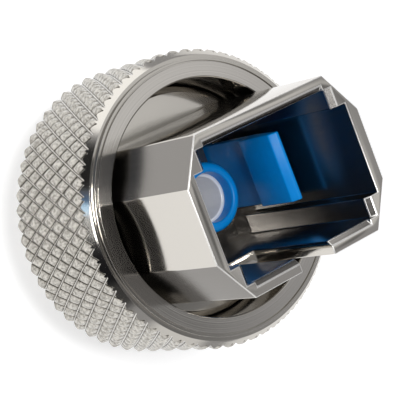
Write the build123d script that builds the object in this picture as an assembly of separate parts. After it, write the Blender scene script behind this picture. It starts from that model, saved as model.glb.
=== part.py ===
from build123d import *
from math import cos, hypot, pi, radians, sin, tan
import os

# Fiber optic adapter with a square push-pull port and a knurled coupling nut.
# Frame, in millimetres: the axis is +Z and points out of the port's mouth. z = 0 is the end of the rear spigot.
# +X runs along the long side of the port. The keyway is in the wall on the -Y side.
# Sizes go from the port outwards: shell, nut opening, thread, knurl. Heights go from the spigot upwards.

# Standard sizes of the port and its sleeve
PORT_WIDTH = 9.1           # between the guide ribs, along X
PORT_HEIGHT = 7.45         # between the long walls, along Y
PORT_DEPTH = 12.7          # mouth to cavity floor
KEYWAY_WIDTH = 2.4
KEYWAY_LENGTH = 7.0
FERRULE_DIAMETER = 2.5
SLEEVE_WALL = 0.35
SLEEVE_LENGTH = 11.4
SLEEVE_SLIT = 0.45

# Receptacle
SIDE_RECESS = 0.87         # how far the side walls lie behind the guide ribs
RIB_HEIGHT = 1.125         # each guide rib, along Y
SIDE_WALL = 0.7
LONG_WALL = 0.785
CORNER_CUT_X = 1.57        # corner cuts of the octagonal outline
CORNER_CUT_Y = 2.46
MOUTH_LEAD_IN = 0.3
MOUTH_EDGE = 0.12
FLANGE_SETBACK = 2.65      # flange face behind the nut's front face
FLANGE_FLAT = 0.44         # the flange's flat face ends this far inside the nut's opening
FLANGE_LENGTH = 1.95       # flange face to its rear shoulder
SHOULDER = 0.689           # step from the flange down to the boss
WEB_THICKNESS = 1.0        # cavity floor
POCKET_WALL = 0.7
EDGE_BREAK = 0.15

# Coupling nut. With the sizes below its thread comes to 15 mm, pitch 0.75 mm
LIP_REACH = 0.354          # from the thread's crests in to the opening
THREAD_PITCH = 0.75
NUT_WALL = 1.015           # from the thread's roots out to the knurl's crests
NUT_LENGTH = 8.0
KNURL_DEPTH = 0.24
KNURL_COUNT = 60
KNURL_ANGLE = 28.1
REAR_COLLAR = 0.3          # smooth end behind the knurl
FACE_WIDTH = 0.88          # turned ring round the opening
GROOVE_WIDTH = 0.08
GROOVE_DEPTH = 0.1
BEAD_WIDTH = 0.14
LEDGE_WIDTH = 0.21
LEDGE_DROP = 0.18          # ledge outside the bead, below the front face

# Snap ring between nut and flange
SNAP_RING_THICKNESS = 0.35
SNAP_RING_BITE = 0.38      # depth of its groove in the flange
SNAP_RING_GAP = 30.0       # degrees left open

# Moulded insert
INSERT_BASE = 1.2
TUBE_WALL = 0.37
TUBE_LIP = 0.85
LIP_HOLE_ROOM = 0.18       # hole in the lip round the ferrule
LIP_EDGE = 0.09            # bevel at that hole
HOOK_ARM = 0.55
HOOK_BITE = 0.53           # how far a head stands in from its arm
HOOK_HEAD = 2.87           # length of a head's inner face
HOOK_LEAD_IN = 0.36
HOOK_SETBACK = 5.25        # hook tips behind the mouth
HOOK_TIP = 0.2

# Rear nose and key
NOSE_FLANGE = 1.1
SPIGOT_DIAMETER = 7.0
SPIGOT_LENGTH = 4.0
SPIGOT_LIP = 0.5
SPIGOT_CHAMFER = 0.35
KEY_DIAMETER = 1.0
KEY_STANDS_OUT = 0.5
KEY_RISE = 1.65            # key's centre above the pocket's end
KEY_BACKING = 0.875        # metal between the key and the port

# Clearances, each on one side
OPENING_CLEARANCE = 0.286  # shell's corners in the nut's opening
RUNNING_FIT = 0.055        # flange in the nut
SEAT_GAP = 0.08            # between the nut's cone and the flange's, along the axis
HOOK_ROOM = 0.42           # hook arm to the side wall, where it bends
HOOK_MARGIN = 0.55         # hook's edges to the guide ribs
SLEEVE_FIT = 0.05
PRESS_FIT = 0.02
INSERT_FIT = 0.1
RING_FIT = 0.06

# Heights along the axis, worked out from the rear
nose_flange_z = SPIGOT_LENGTH
insert_z = nose_flange_z + NOSE_FLANGE
web_z = insert_z + INSERT_BASE
floor_z = web_z + WEB_THICKNESS
mouth_z = floor_z + PORT_DEPTH
key_z = web_z + KEY_RISE
flange_rear_z = key_z + KEY_DIAMETER / 2 + EDGE_BREAK
flange_front_z = flange_rear_z + FLANGE_LENGTH
nut_front_z = flange_front_z + FLANGE_SETBACK
nut_rear_z = nut_front_z - NUT_LENGTH
sleeve_end_z = SPIGOT_LIP + SLEEVE_LENGTH
lip_low_z = sleeve_end_z + SLEEVE_FIT
tube_end_z = lip_low_z + TUBE_LIP

# Half widths of the port and shell
half_height = PORT_HEIGHT / 2
recess_x = PORT_WIDTH / 2 + SIDE_RECESS
recess_y = half_height - RIB_HEIGHT
shell_x = recess_x + SIDE_WALL
shell_y = half_height + LONG_WALL
hook_outer_x = recess_x - HOOK_ROOM
hook_arm_x = hook_outer_x - HOOK_ARM
hook_inner_x = hook_arm_x - HOOK_BITE
hook_y = recess_y - HOOK_MARGIN

# Radii, from the shell's corners outwards
corner_r = max(hypot(shell_x, shell_y - CORNER_CUT_Y), hypot(shell_x - CORNER_CUT_X, shell_y))
opening_r = corner_r + OPENING_CLEARANCE
thread_minor_r = opening_r + LIP_REACH
thread_r = thread_minor_r + 1.0825 * THREAD_PITCH / 2
knurl_r = thread_r + NUT_WALL
groove_r = knurl_r - KNURL_DEPTH
flange_r = thread_minor_r - RUNNING_FIT
flange_flat_r = opening_r - FLANGE_FLAT
flange_cone_z = flange_front_z - (flange_r - flange_flat_r)
boss_r = flange_r - SHOULDER
pocket_r = boss_r - POCKET_WALL
ring_z = (flange_cone_z + flange_rear_z) / 2
ring_inner_r = flange_r - SNAP_RING_BITE + RING_FIT
ring_outer_r = flange_r + SNAP_RING_BITE

# Radii of the sleeve and what holds it
ferrule_r = FERRULE_DIAMETER / 2
sleeve_r = ferrule_r + SLEEVE_WALL
sleeve_bore_r = sleeve_r + SLEEVE_FIT
tube_r = sleeve_bore_r + TUBE_WALL
lip_hole_r = ferrule_r + LIP_HOLE_ROOM
spigot_r = SPIGOT_DIAMETER / 2


def turned(*outline):
    """Revolve a closed outline of (radius, z) points about the axis."""
    face = make_face(Polyline(*outline, close=True))
    return revolve(Plane.XZ * face, Axis.Z)


def slab(size_x, size_y, low_z, high_z):
    """A box centred on the axis between two heights."""
    return Pos(0, 0, low_z) * Box(size_x, size_y, high_z - low_z, align=(Align.CENTER, Align.CENTER, Align.MIN))


def rod(radius, low_z, high_z):
    """A cylinder on the axis between two heights."""
    return Pos(0, 0, low_z) * Cylinder(radius, high_z - low_z, align=(Align.CENTER, Align.CENTER, Align.MIN))


def knurled_band(low_z, half_row, half_rows):
    """A bar covered in diamonds, from low_z up over a number of half rows, with a flat end at each.

    Two hands of V grooves cross at groove_r. Each diamond is a low pyramid with its peak at knurl_r. Peaks and
    crossings take turns round the bar and along it.
    """
    def corner(column, level):
        radius = knurl_r if (column + level) % 2 else groove_r
        angle = column * pi / KNURL_COUNT
        return Vector(radius * cos(angle), radius * sin(angle), low_z + level * half_row)

    faces = []
    for index in range(KNURL_COUNT * (half_rows + 1)):
        level, column = divmod(index, KNURL_COUNT)
        column = 2 * column + (level + 1) % 2
        peak = corner(column, level)
        for side in (-1, 1):
            for way in (-1, 1):
                if 0 <= level + way <= half_rows:
                    facet = [peak, corner(column + side, level), corner(column, level + way)]
                    faces.append(Face(Wire.make_polygon(facet)))
    for level in (0, half_rows):
        faces.append(Face(Wire.make_polygon([corner(column, level) for column in range(2 * KNURL_COUNT)])))
    return Solid(Shell(faces))


def nut_blank():
    """The nut's outside before knurling: turned face, bead, ledge, and a cone that runs out over the knurl."""
    face_r = opening_r + FACE_WIDTH
    bead_r = face_r + GROOVE_WIDTH
    bead_end_r = bead_r + BEAD_WIDTH
    bead_edge = BEAD_WIDTH / 4
    ledge_r = bead_end_r + LEDGE_WIDTH
    ledge_z = nut_front_z - LEDGE_DROP
    groove_z = nut_front_z - GROOVE_DEPTH
    blank_r = knurl_r + EDGE_BREAK
    return turned(
        (0, nut_front_z), (face_r, nut_front_z), (face_r, groove_z), (bead_r, groove_z),
        (bead_r, nut_front_z - bead_edge), (bead_r + bead_edge, nut_front_z), (bead_end_r - bead_edge, nut_front_z),
        (bead_end_r, nut_front_z - bead_edge), (bead_end_r, ledge_z), (ledge_r, ledge_z),
        (blank_r, ledge_z - (blank_r - ledge_r)), (blank_r, nut_rear_z + REAR_COLLAR), (0, nut_rear_z + REAR_COLLAR),
    )


def coupling_nut():
    """Knurled nut: lip with a cone seat, ring groove, threaded bore, and a turned front face."""
    knurl_low_z = nut_rear_z + REAR_COLLAR
    half_row = pi * knurl_r / KNURL_COUNT / tan(radians(KNURL_ANGLE))
    half_rows = int((nut_front_z - knurl_low_z) / half_row) + 1
    outside = nut_blank() & knurled_band(knurl_low_z, half_row, half_rows)
    rear_r = groove_r - EDGE_BREAK
    outside += turned(
        (0, knurl_low_z), (rear_r, knurl_low_z), (rear_r, nut_rear_z + EDGE_BREAK),
        (rear_r - EDGE_BREAK, nut_rear_z), (0, nut_rear_z),
    )
    seat_z = flange_front_z - (opening_r - flange_flat_r) + SEAT_GAP
    bore_z = seat_z - LIP_REACH
    countersink_r = thread_r + RUNNING_FIT
    inside = turned(
        (0, nut_front_z), (opening_r + EDGE_BREAK, nut_front_z), (opening_r, nut_front_z - EDGE_BREAK),
        (opening_r, seat_z), (thread_minor_r, bore_z), (thread_minor_r, nut_rear_z + countersink_r - thread_minor_r),
        (countersink_r, nut_rear_z), (0, nut_rear_z),
    )
    ring_groove = turned(
        (opening_r, ring_z - SNAP_RING_THICKNESS / 2), (ring_outer_r + PRESS_FIT, ring_z - SNAP_RING_THICKNESS / 2),
        (ring_outer_r + PRESS_FIT, ring_z + SNAP_RING_THICKNESS / 2), (opening_r, ring_z + SNAP_RING_THICKNESS / 2),
    )
    return outside - inside - ring_groove


def nut_snap_ring():
    """Flat wire ring with a gap, sprung into the nut's groove."""
    low, high = ring_z - SNAP_RING_THICKNESS / 2, ring_z + SNAP_RING_THICKNESS / 2
    ring = rod(ring_outer_r, low, high) - rod(ring_inner_r, low, high)
    reach = 2 * ring_outer_r
    spread = reach * tan(radians(SNAP_RING_GAP / 2))
    gap = make_face(Polyline((0, 0), (spread, reach), (-spread, reach), close=True))
    return ring - Pos(0, 0, low) * extrude(gap, high - low)


def octagon(half_x, half_y, cut_x, cut_y):
    """Rectangle with its four corners cut off."""
    corners = [
        (half_x, half_y - cut_y), (half_x - cut_x, half_y), (cut_x - half_x, half_y), (-half_x, half_y - cut_y),
        (-half_x, cut_y - half_y), (cut_x - half_x, -half_y), (half_x - cut_x, -half_y), (half_x, cut_y - half_y),
    ]
    return make_face(Polyline(*corners, close=True))


def receptacle():
    """Octagonal shell with the port, on a flange and a boss."""
    shell = Pos(0, 0, flange_rear_z) * extrude(
        octagon(shell_x, shell_y, CORNER_CUT_X, CORNER_CUT_Y), mouth_z - flange_rear_z
    )
    shell = chamfer(shell.faces().sort_by(Axis.Z)[-1].edges(), MOUTH_EDGE)
    base = turned(
        (0, nose_flange_z), (boss_r - EDGE_BREAK, nose_flange_z), (boss_r, nose_flange_z + EDGE_BREAK),
        (boss_r, flange_rear_z), (flange_r, flange_rear_z), (flange_r, flange_cone_z),
        (flange_flat_r, flange_front_z), (0, flange_front_z),
    )
    body = shell + base
    groove_half = SNAP_RING_THICKNESS / 2 + RING_FIT
    body -= turned(
        (flange_r - SNAP_RING_BITE, ring_z - groove_half), (ring_outer_r, ring_z - groove_half),
        (ring_outer_r, ring_z + groove_half), (flange_r - SNAP_RING_BITE, ring_z + groove_half),
    )
    body -= slab(PORT_WIDTH, PORT_HEIGHT, floor_z, mouth_z)
    body -= slab(2 * recess_x, 2 * recess_y, floor_z, mouth_z)
    body -= mouth_lead_in()
    body -= Pos(0, -half_height, 0) * slab(KEYWAY_WIDTH, 4 * LONG_WALL, mouth_z - KEYWAY_LENGTH, mouth_z)
    body -= rod(pocket_r, nose_flange_z, web_z)
    body -= rod(tube_r + INSERT_FIT, web_z, floor_z)
    slot_low = hook_arm_x - INSERT_FIT
    slot_size = HOOK_ARM + 2 * INSERT_FIT
    for side in (-1, 1):
        body -= Pos(side * (slot_low + slot_size / 2), 0, 0) * slab(
            slot_size, 2 * (hook_y + INSERT_FIT), web_z, floor_z
        )
    return body - key_hole()


def mouth_lead_in():
    """Bevels on the long walls and on the four guide ribs, so that a plug finds its way in."""
    reach_y = half_height + MOUTH_LEAD_IN
    reach_x = PORT_WIDTH / 2 + MOUTH_LEAD_IN
    low_z = mouth_z - MOUTH_LEAD_IN
    wide = make_face(Polyline((-half_height, low_z), (half_height, low_z), (reach_y, mouth_z), (-reach_y, mouth_z),
                              close=True))
    long_walls = extrude(Plane.YZ * wide, PORT_WIDTH / 2 - MOUTH_LEAD_IN, both=True)
    narrow = make_face(Polyline((-PORT_WIDTH / 2, low_z), (PORT_WIDTH / 2, low_z), (reach_x, mouth_z),
                                (-reach_x, mouth_z), close=True))
    return long_walls + extrude(Plane.XZ * narrow, half_height, both=True)


def key_hole():
    """Radial hole in the boss, under the keyway."""
    return key_rod(KEY_DIAMETER / 2 + PRESS_FIT)


def key_rod(radius):
    """A cylinder along -Y, from its seat in the boss out to the key's outer end."""
    inner_end = half_height + KEY_BACKING
    outer_end = boss_r + KEY_STANDS_OUT
    start = Plane(origin=(0, -inner_end, key_z), x_dir=(1, 0, 0), z_dir=(0, -1, 0))
    return start * Cylinder(radius, outer_end - inner_end, align=(Align.CENTER, Align.CENTER, Align.MIN))


def key_pin():
    """Dowel pressed into the boss."""
    pin = key_rod(KEY_DIAMETER / 2)
    return chamfer(pin.edges().filter_by(GeomType.CIRCLE), KEY_DIAMETER / 10)


def latch_insert():
    """One moulding: base disc, sleeve tube with a lip rounded in two bevels, and two latch hooks."""
    crest_r = lip_hole_r + LIP_EDGE
    rounding = tube_r - crest_r
    bevel = rounding * (1 - cos(pi / 4))
    disc_r = pocket_r - INSERT_FIT / 2
    body = turned(
        (crest_r, tube_end_z), (lip_hole_r, tube_end_z - LIP_EDGE), (lip_hole_r, lip_low_z),
        (sleeve_bore_r, lip_low_z), (sleeve_bore_r, insert_z), (disc_r, insert_z), (disc_r, web_z), (tube_r, web_z),
        (tube_r, tube_end_z - rounding), (tube_r - bevel, tube_end_z - bevel),
    )
    for side in (-1, 1):
        body += hook(side)
    return body


def hook(side):
    """A latch hook: a flat arm with a head that stands in towards the axis, tapered to its tip."""
    tip_z = mouth_z - HOOK_SETBACK
    head_front_z = tip_z - HOOK_LEAD_IN
    shoulder_z = head_front_z - HOOK_HEAD
    tip_x = hook_inner_x + HOOK_LEAD_IN
    profile = make_face(Polyline(
        (hook_arm_x, insert_z), (hook_arm_x, shoulder_z), (hook_inner_x, shoulder_z), (hook_inner_x, head_front_z),
        (tip_x, tip_z), (tip_x + HOOK_TIP, tip_z), (hook_outer_x, shoulder_z + HOOK_HEAD / 4),
        (hook_outer_x, insert_z), close=True))
    blade = extrude(Plane.XZ * profile, hook_y, both=True)
    outline = Pos(0, (insert_z + tip_z) / 2) * Rectangle(2 * hook_y, tip_z - insert_z)
    outline = fillet(outline.vertices().group_by(Axis.Y)[-1], 2 * HOOK_TIP)
    blade &= extrude(Plane.YZ * outline, 2 * hook_outer_x)
    return blade if side > 0 else mirror(blade, Plane.YZ)


def alignment_sleeve():
    """Split ceramic sleeve, standing on the spigot's inner lip."""
    low, high = SPIGOT_LIP, sleeve_end_z
    edge = SLEEVE_FIT
    sleeve = turned(
        (ferrule_r + edge, low), (sleeve_r - edge, low), (sleeve_r, low + edge), (sleeve_r, high - edge),
        (sleeve_r - edge, high), (ferrule_r + edge, high), (ferrule_r, high - edge), (ferrule_r, low + edge),
    )
    return sleeve - Pos(0, sleeve_r, 0) * slab(SLEEVE_SLIT, 2 * sleeve_r, low, high)


def rear_nose():
    """Turned nose: flange pressed into the boss, and the spigot that enters the instrument."""
    return turned(
        (lip_hole_r + SPIGOT_LIP / 2, 0), (spigot_r - SPIGOT_CHAMFER, 0), (spigot_r, SPIGOT_CHAMFER),
        (spigot_r, nose_flange_z), (pocket_r - PRESS_FIT, nose_flange_z), (pocket_r - PRESS_FIT, insert_z),
        (sleeve_bore_r, insert_z), (sleeve_bore_r, SPIGOT_LIP), (lip_hole_r, SPIGOT_LIP),
        (lip_hole_r, SPIGOT_LIP / 2),
    )


pieces = {
    "coupling_nut": coupling_nut,
    "nut_snap_ring": nut_snap_ring,
    "receptacle": receptacle,
    "latch_insert": latch_insert,
    "alignment_sleeve": alignment_sleeve,
    "rear_nose": rear_nose,
    "key_pin": key_pin,
}

os.makedirs("parts", exist_ok=True)
for name, make in pieces.items():
    piece = make()
    export_step(piece, f"parts/{name}.step")
    print(name, round(piece.volume, 2), "mm3")
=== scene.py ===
# %% [markdown]
# # A fiber optic adapter in Blender
# This object joins a square push-pull plug to a round socket on an instrument. A bright metal receptacle
# holds the port, with a blue moulded insert inside it, and a short knurled nut turns on the receptacle and
# pulls it down. The solids of the CAD model have sharp edges and no thread, so this lesson builds every
# piece again with the rounded edges, the thread and the finishes of the real one, in the solids' place.

# %% Load the frame
from math import cos, degrees, hypot, pi, radians, sin, tan

import bmesh
import bpy
from mathutils import Matrix, Vector


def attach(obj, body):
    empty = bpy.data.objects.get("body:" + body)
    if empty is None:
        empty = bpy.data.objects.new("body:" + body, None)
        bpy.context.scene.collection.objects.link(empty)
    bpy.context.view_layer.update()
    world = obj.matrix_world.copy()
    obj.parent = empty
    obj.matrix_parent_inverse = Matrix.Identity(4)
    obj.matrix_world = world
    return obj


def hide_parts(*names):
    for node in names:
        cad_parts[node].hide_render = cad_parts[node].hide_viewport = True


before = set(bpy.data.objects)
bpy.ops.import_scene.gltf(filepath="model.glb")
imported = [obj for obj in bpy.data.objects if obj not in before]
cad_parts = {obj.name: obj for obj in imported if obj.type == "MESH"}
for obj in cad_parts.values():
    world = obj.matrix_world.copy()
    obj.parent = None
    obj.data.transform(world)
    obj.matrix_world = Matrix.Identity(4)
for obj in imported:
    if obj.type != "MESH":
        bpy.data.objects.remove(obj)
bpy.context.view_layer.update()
print("solids:", sorted(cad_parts))

# %% [markdown]
# ## The camera
# The photograph looks down into the port from the side away from the keyway, rolled so that the axis points
# to the right. A camera could be placed by eye. This one was fitted to the port's known sizes in the
# picture, so its place and its long lens are plain numbers, in millimetres.

# %% Camera
MM = 0.001
CAMERA_PLACE = Vector((-50.71, 12.64, 87.62))
CAMERA_LOOKS = Vector((0.54937, -0.13749, -0.82419))
CAMERA_UP = Vector((0.37017, 0.92434, 0.09254))
CAMERA_LENS = 146.49
CAMERA_SENSOR = 36.0


def new_object(name, data):
    """An object in the scene that holds a mesh, a camera or a lamp."""
    made = bpy.data.objects.new(name, data)
    bpy.context.scene.collection.objects.link(made)
    return made


camera_data = bpy.data.cameras.new("camera")
camera_data.lens = CAMERA_LENS
camera_data.sensor_width = CAMERA_SENSOR
camera_data.clip_start = MM
camera = new_object("camera", camera_data)
back = -CAMERA_LOOKS.normalized()
right = CAMERA_UP.cross(back).normalized()
up = back.cross(right)
camera_turn = Matrix((right, up, back)).transposed().to_4x4()
camera.matrix_world = Matrix.Translation(CAMERA_PLACE * MM) @ camera_turn
bpy.context.scene.camera = camera
print("camera to axis in mm:", round(hypot(CAMERA_PLACE.x, CAMERA_PLACE.y), 1))

# %% [markdown]
# ## Sizes
# All lengths are millimetres in the frame of the solids: z = 0 is the end of the rear spigot, +Z points out
# of the port, +X runs along its long side, and the keyway is on the -Y side. They repeat the values of the
# CAD model, because a named number is easier to change than a measured one. These are the shared ones.

# %% Shared sizes
FLANGE_Z = 10.55
FLOOR_Z = 7.3
WEB_Z = 6.3
INSERT_Z = 5.1
NOSE_Z = 4.0
NUT_FRONT_Z, NUT_REAR_Z = 13.2, 5.2
PORT_X, PORT_Y = 4.55, 3.725
RECESS_X, RECESS_Y = 5.42, 2.6
FLANGE_FLAT_R = 6.3
POCKET_R = 5.65
KNURL_R = 8.515
KNURL_DEPTH = 0.24
RING_Z = 9.2055
RING_HALF = 0.175
print("nut over the knurl:", 2 * KNURL_R, "port:", 2 * PORT_X, "by", 2 * PORT_Y)

# %% [markdown]
# ## Outlines
# Most of this object is turned on a lathe, so most pieces start as an outline of radius and height. Its
# corners get a small radius first, because a real edge is never sharp, and its highlight is what the eye
# reads as metal. A Bevel modifier could do that later. On the outline each corner has its own radius.


# %% Round the corners of an outline
def rounded(corners, steps=4):
    """Corners are (u, v) or (u, v, radius). A radius turns its corner into an arc of short steps."""
    points = []
    for index, corner in enumerate(corners):
        here = Vector(corner[:2])
        if len(corner) < 3:
            points.append(here)
            continue
        before = (Vector(corners[index - 1][:2]) - here).normalized()
        after = (Vector(corners[(index + 1) % len(corners)][:2]) - here).normalized()
        half = before.angle(after) / 2
        centre = here + (before + after).normalized() * corner[2] / sin(half)
        first = here + before * corner[2] / tan(half) - centre
        last = here + after * corner[2] / tan(half) - centre
        span = pi - 2 * half
        for step in range(steps + 1):
            share = step / steps
            reach = first * sin((1 - share) * span) + last * sin(share * span)
            points.append(centre + reach / sin(span))
    return points


# %% [markdown]
# ## Turned and milled shapes
# A turned piece is its outline spun round the axis, as the bar turns against the tool. A milled piece is a
# prism. The Screw modifier could spin an outline too. Building the faces one by one closes the seam, and
# gives a part of a turn its flat ends.

# %% Spin or push an outline
MERGE_DISTANCE = 1e-5


def piece_from(name, mesh_or_bmesh):
    """A new object from a mesh or bmesh drawn in millimetres, with its faces turned outwards."""
    if isinstance(mesh_or_bmesh, bmesh.types.BMesh):
        mesh = bpy.data.meshes.new(name)
        bmesh.ops.recalc_face_normals(mesh_or_bmesh, faces=mesh_or_bmesh.faces)
        mesh_or_bmesh.to_mesh(mesh)
        mesh_or_bmesh.free()
        mesh.transform(Matrix.Scale(MM, 4))
    else:
        mesh = mesh_or_bmesh
    return new_object(name, mesh)


def lathe(name, outline, steps=192, start=0.0, sweep=360.0):
    """Spin a closed outline of (radius, z) round the axis, all the way or part of it with flat ends."""
    bm = bmesh.new()
    whole = sweep == 360.0
    columns = []
    for step in range(steps if whole else steps + 1):
        angle = radians(start + sweep * step / steps)
        columns.append([bm.verts.new((p[0] * cos(angle), p[0] * sin(angle), p[1])) for p in outline])
    count = len(outline)
    for step in range(steps):
        here, beside = columns[step], columns[(step + 1) % len(columns)]
        for index in range(count):
            after = (index + 1) % count
            bm.faces.new((here[index], beside[index], beside[after], here[after]))
    if not whole:
        bm.faces.new(columns[0])
        bm.faces.new(columns[-1])
    bmesh.ops.remove_doubles(bm, verts=bm.verts, dist=MERGE_DISTANCE)
    return piece_from(name, bm)


def bar(name, radius, z, steps):
    """A plain round bar between the (low, high) pair z."""
    return lathe(name, [(0.0, z[0]), (radius, z[0]), (radius, z[1]), (0.0, z[1])], steps)


def prism(name, outline, start, length, plane="XY"):
    """A flat outline pushed along the third axis, from start over length."""
    turn = {
        "XY": lambda u, v, w: (u, v, w),
        "XZ": lambda u, v, w: (u, w, v),
        "YZ": lambda u, v, w: (w, u, v),
    }[plane]
    bm = bmesh.new()
    low = [bm.verts.new(turn(p[0], p[1], start)) for p in outline]
    high = [bm.verts.new(turn(p[0], p[1], start + length)) for p in outline]
    bm.faces.new(low)
    bm.faces.new(high)
    for index in range(len(outline)):
        after = (index + 1) % len(outline)
        bm.faces.new((low[index], low[after], high[after], high[index]))
    return piece_from(name, bm)


def block(name, x, y, z):
    """A box between the (low, high) pairs x, y and z."""
    outline = [(x[0], y[0]), (x[1], y[0]), (x[1], y[1]), (x[0], y[1])]
    return prism(name, outline, z[0], z[1] - z[0])


# %% [markdown]
# ## Cutting and softening
# A boolean takes one shape from another as a cutter does, and a fine bevel rounds milled edges. Faces could
# be cut by hand, but a boolean follows when a size changes. Each modifier is applied at once.

# %% Cut, join and soften
STRAIGHT = radians(0.5)


def settle(made):
    """Turn the modifiers of a piece into its plain mesh."""
    graph = bpy.context.evaluated_depsgraph_get()
    mesh = bpy.data.meshes.new_from_object(made.evaluated_get(graph))
    made.modifiers.clear()
    old = made.data
    made.data = mesh
    bpy.data.meshes.remove(old)
    return made


def machine(made, *tools, operation="DIFFERENCE"):
    """Cut the tools out of a piece, or join them to it, and put the tools away."""
    for tool in tools:
        step = made.modifiers.new("machine", "BOOLEAN")
        step.solver = "EXACT"
        step.operation = operation
        step.object = tool
        settle(made)
        bpy.data.objects.remove(tool)


def soften(made, width, segments=2, sharp=32.0, finish=-1):
    """Bevel the sharp edges, in the material slot named, and shade smooth except across sharp edges."""
    if width:
        bm = bmesh.new()
        bm.from_mesh(made.data)
        bmesh.ops.dissolve_limit(bm, angle_limit=STRAIGHT, verts=bm.verts, edges=bm.edges)
        bm.to_mesh(made.data)
        bm.free()
        step = made.modifiers.new("edge", "BEVEL")
        step.width = width * MM
        step.segments = segments
        step.material = finish
        step.limit_method = "ANGLE"
        step.angle_limit = radians(sharp)
        step.use_clamp_overlap = False
        settle(made)
    made.data.shade_smooth()
    made.data.set_sharp_from_angle(angle=radians(sharp))


# %% [markdown]
# ## Helpers for materials
# Colours are sRGB hex values, as a picture editor shows them, turned to the linear values of the shaders.
# Nodes could be placed in the editor, but one small function that adds a node keeps each material short.
# The scale of a noise is worked out from the width of one grain in millimetres.


# %% Colours and nodes
RGBA = {"data_type": "RGBA"}


def colour(code):
    """An sRGB hex value such as #B5B3AF as linear red, green, blue and alpha."""
    values = [int(code[place:place + 2], 16) / 255 for place in (1, 3, 5)]
    linear = [v / 12.92 if v <= 0.04045 else ((v + 0.055) / 1.055) ** 2.4 for v in values]
    return (*linear, 1.0)


def add(tree, kind, settings=None, **inputs):
    """Add a node. Settings are its own properties. Inputs are values, or output sockets to link."""
    node = tree.nodes.new(kind)
    for key, value in (settings or {}).items():
        setattr(node, key, value)
    for key, value in inputs.items():
        by_number = key[0] == "n" and key[1:].isdigit()
        socket = node.inputs[int(key[1:]) if by_number else key.replace("_", " ")]
        if isinstance(value, bpy.types.NodeSocket):
            tree.links.new(value, socket)
        else:
            socket.default_value = value
    return node


def new_material(name):
    """A node material, its tree, and the place of each point on the piece in metres."""
    material = bpy.data.materials.new(name)
    material.use_nodes = True
    tree = material.node_tree
    tree.nodes.clear()
    return material, tree, add(tree, "ShaderNodeTexCoord").outputs["Object"]


def finish_material(material, shader):
    """Link a shader to the material's output."""
    add(material.node_tree, "ShaderNodeOutputMaterial", n0=shader.outputs[0])
    return material


def grain_scale(width):
    """The scale of a noise whose grains are this many millimetres wide."""
    return 1.0 / (width * MM)


def axis_distance(tree, place):
    """How far each point of a turned piece is from its axis, in metres."""
    flat = add(tree, "ShaderNodeVectorMath", {"operation": "MULTIPLY"}, n0=place, n1=(1.0, 1.0, 0.0))
    return add(tree, "ShaderNodeVectorMath", {"operation": "LENGTH"}, n0=flat.outputs[0]).outputs["Value"]


print("a mid grey is", round(colour("#808080")[0], 3), "in linear light")

# %% [markdown]
# ## Satin nickel on the knurl
# The nut is brass with a satin nickel plate, a warm grey, worn and dented on its tops. The knurl's grooves
# get painted shade low on their flanks and a painted highlight on their floors. A mask could be painted, but
# on a turned piece the distance from the axis tells groove from top exactly, so the tint follows that.

# %% Satin nickel, knurled
# Real dents are about a third of this width and wouldn't show, so they are drawn coarser.
DENT_WIDTH = 0.1538
# Painted shade on the knurl's flanks: the tint at each share of the groove's depth, darkest low down.
GROOVE_SHADE_LEVELS = ((0.06, "#8E8B86"), (0.18, "#98958F"), (0.3, "#D8D6D2"))


def satin_nickel():
    """Knurled nickel plate: dents, worn tops, painted shade in the grooves, painted highlight on their
    floors.
    """
    material, tree, place = new_material("satin nickel plate, knurled")
    dents = add(tree, "ShaderNodeTexNoise", Vector=place, Scale=grain_scale(DENT_WIDTH), Detail=2.0)
    worn = add(tree, "ShaderNodeMapRange", Value=dents.outputs[0], From_Min=0.36, From_Max=0.62)
    rough = add(tree, "ShaderNodeMapRange", Value=dents.outputs[0], To_Min=0.16, To_Max=0.3)
    plate = add(tree, "ShaderNodeMix", RGBA, n0=worn.outputs[0], n6=colour("#98958F"),
                n7=colour("#CFCCC6"))
    lift = add(tree, "ShaderNodeMapRange", Value=axis_distance(tree, place),
               From_Min=(KNURL_R - KNURL_DEPTH) * MM, From_Max=KNURL_R * MM)
    # A painted highlight makes the groove floors white, then painted shade darkens the low flanks towards the
    # tops.
    groove_shade = add(tree, "ShaderNodeValToRGB", n0=lift.outputs[0])
    ramp = groove_shade.color_ramp.elements
    ramp[0].position, ramp[0].color = 0.025, colour("#FFFFFF")
    ramp[1].position, ramp[1].color = 0.5, colour("#F4F3F1")
    for height, shade in GROOVE_SHADE_LEVELS:
        ramp.new(height).color = colour(shade)
    tint = add(tree, "ShaderNodeMix", {"data_type": "RGBA", "blend_type": "MULTIPLY"}, n0=1.0,
               n6=plate.outputs[2], n7=groove_shade.outputs[0])
    bump = add(tree, "ShaderNodeBump", Strength=0.5, Distance=0.00002, Height=dents.outputs[0])
    shader = add(tree, "ShaderNodeBsdfPrincipled", Metallic=1.0, Base_Color=tint.outputs[2],
                 Roughness=rough.outputs[0], Normal=bump.outputs[0])
    return finish_material(material, shader)


materials = {"satin": satin_nickel()}
print("material:", materials["satin"].name)

# %% [markdown]
# ## Turned nickel
# The nut's face and bore keep the fine rings of the turning tool. They could be modelled, but they are only
# thousandths of a millimetre deep. So a noise of one dimension that runs outwards from the axis gives the
# tint and the bump their rings, and a broad cloud makes some of the face shinier than the rest.

# %% Satin nickel, turned
# The rings are as far apart as the feed of a finishing cut, so they are drawn at their real size.
FEED = 0.0714
CLOUD_WIDTH = 2.0


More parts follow.
